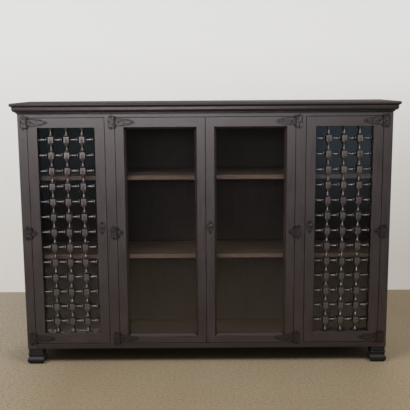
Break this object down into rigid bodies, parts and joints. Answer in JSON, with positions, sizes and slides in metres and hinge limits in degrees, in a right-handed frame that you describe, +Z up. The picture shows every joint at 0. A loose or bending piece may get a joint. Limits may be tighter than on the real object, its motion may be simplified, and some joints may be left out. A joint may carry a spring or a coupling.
{
  "type": "display cabinet",
  "caption": "Wide dark wood display cabinet on moulded feet: outer doors with turned lattice over glass, glazed middle doors, forged hinges, shelves inside.",
  "frame": {"origin": "middle of the cabinet's outline on the floor, under the feet", "axes": "+X to the right seen from the front, +Y to the back, +Z up; the doors face -Y"},
  "size_m": [1.706, 0.378, 1.196],
  "materials": {
    "carcass_wood": "satin, waxed",
    "moulding_wood": "satin, waxed",
    "door_wood": "satin, waxed",
    "turned_wood": "satin, waxed",
    "inside_wood": "dull",
    "pane_glass": "clear",
    "forged_iron": "blackened",
    "nail_iron": "blackened",
    "lock_iron": "dull"
  },
  "bodies": {
    "cabinet": {"top_board": "moulding_wood", "cornice": "moulding_wood", "left_side_panel": "carcass_wood", "right_side_panel": "carcass_wood", "left_partition": "inside_wood", "right_partition": "inside_wood", "bottom_board": "inside_wood", "carcass_top_board": "inside_wood", "back_boards": "inside_wood", "outer_stiles": "carcass_wood", "mid_stiles": "carcass_wood", "top_front_rail": "carcass_wood", "bottom_front_rail": "carcass_wood", "outer_shelves": "inside_wood", "centre_shelves": "inside_wood", "shelf_cleats": "inside_wood", "feet": "moulding_wood", "door_stops": "inside_wood", "hinge_frame_leaves": "forged_iron", "hinge_pins": "forged_iron", "frame_leaf_nails": "nail_iron"},
    "left_lattice_door": {"left_lattice_stiles": "door_wood", "left_lattice_rails": "door_wood", "left_lattice_pane": "pane_glass", "left_lattice_glazing_beads": "inside_wood", "left_lattice_hinge_straps": "forged_iron", "left_lattice_nails": "nail_iron", "left_lattice_uprights": "turned_wood", "left_lattice_cross_spindles": "turned_wood", "left_lattice_escutcheon": "forged_iron", "left_lattice_lock_case": "lock_iron"},
    "left_lattice_bolt": {"left_lattice_lock_bolt": "lock_iron"},
    "left_glass_door": {"left_glass_stiles": "door_wood", "left_glass_rails": "door_wood", "left_glass_pane": "pane_glass", "left_glass_glazing_beads": "inside_wood", "left_glass_hinge_straps": "forged_iron", "left_glass_nails": "nail_iron", "slide_bolt_plate": "forged_iron"},
    "right_lattice_door": {"right_lattice_stiles": "door_wood", "right_lattice_rails": "door_wood", "right_lattice_pane": "pane_glass", "right_lattice_glazing_beads": "inside_wood", "right_lattice_hinge_straps": "forged_iron", "right_lattice_nails": "nail_iron", "right_lattice_uprights": "turned_wood", "right_lattice_cross_spindles": "turned_wood", "right_lattice_escutcheon": "forged_iron", "right_lattice_lock_case": "lock_iron"},
    "right_lattice_bolt": {"right_lattice_lock_bolt": "lock_iron"},
    "right_glass_door": {"right_glass_stiles": "door_wood", "right_glass_rails": "door_wood", "right_glass_pane": "pane_glass", "right_glass_glazing_beads": "inside_wood", "right_glass_hinge_straps": "forged_iron", "right_glass_nails": "nail_iron", "right_glass_escutcheon": "forged_iron", "right_glass_lock_case": "lock_iron"},
    "right_glass_bolt": {"right_glass_lock_bolt": "lock_iron"},
    "slide_bolt": {"slide_bolt": "forged_iron"}
  },
  "joints": [
    {"name": "left_lattice_hinge", "type": "hinge", "parent": "cabinet", "child": "left_lattice_door", "pos_m": [-0.78475, -0.1653, 0.616], "axis": [0, 0, -1], "range_deg": [0, 170]},
    {"name": "left_lattice_bolt_slide", "type": "slide", "parent": "left_lattice_door", "child": "left_lattice_bolt", "axis": [1, 0, 0], "range_m": [0, 0.008]},
    {"name": "left_glass_hinge", "type": "hinge", "parent": "cabinet", "child": "left_glass_door", "pos_m": [-0.39875, -0.1653, 0.616], "axis": [0, 0, -1], "range_deg": [0, 170]},
    {"name": "right_lattice_hinge", "type": "hinge", "parent": "cabinet", "child": "right_lattice_door", "pos_m": [0.78475, -0.1653, 0.616], "axis": [0, 0, 1], "range_deg": [0, 170]},
    {"name": "right_lattice_bolt_slide", "type": "slide", "parent": "right_lattice_door", "child": "right_lattice_bolt", "axis": [-1, 0, 0], "range_m": [0, 0.008]},
    {"name": "right_glass_hinge", "type": "hinge", "parent": "cabinet", "child": "right_glass_door", "pos_m": [0.39875, -0.1653, 0.616], "axis": [0, 0, 1], "range_deg": [0, 170]},
    {"name": "right_glass_bolt_slide", "type": "slide", "parent": "right_glass_door", "child": "right_glass_bolt", "axis": [-1, 0, 0], "range_m": [0, 0.008]},
    {"name": "slide_bolt_slide", "type": "slide", "parent": "left_glass_door", "child": "slide_bolt", "axis": [0, 0, 1], "range_m": [0, 0.012]}
  ]
}
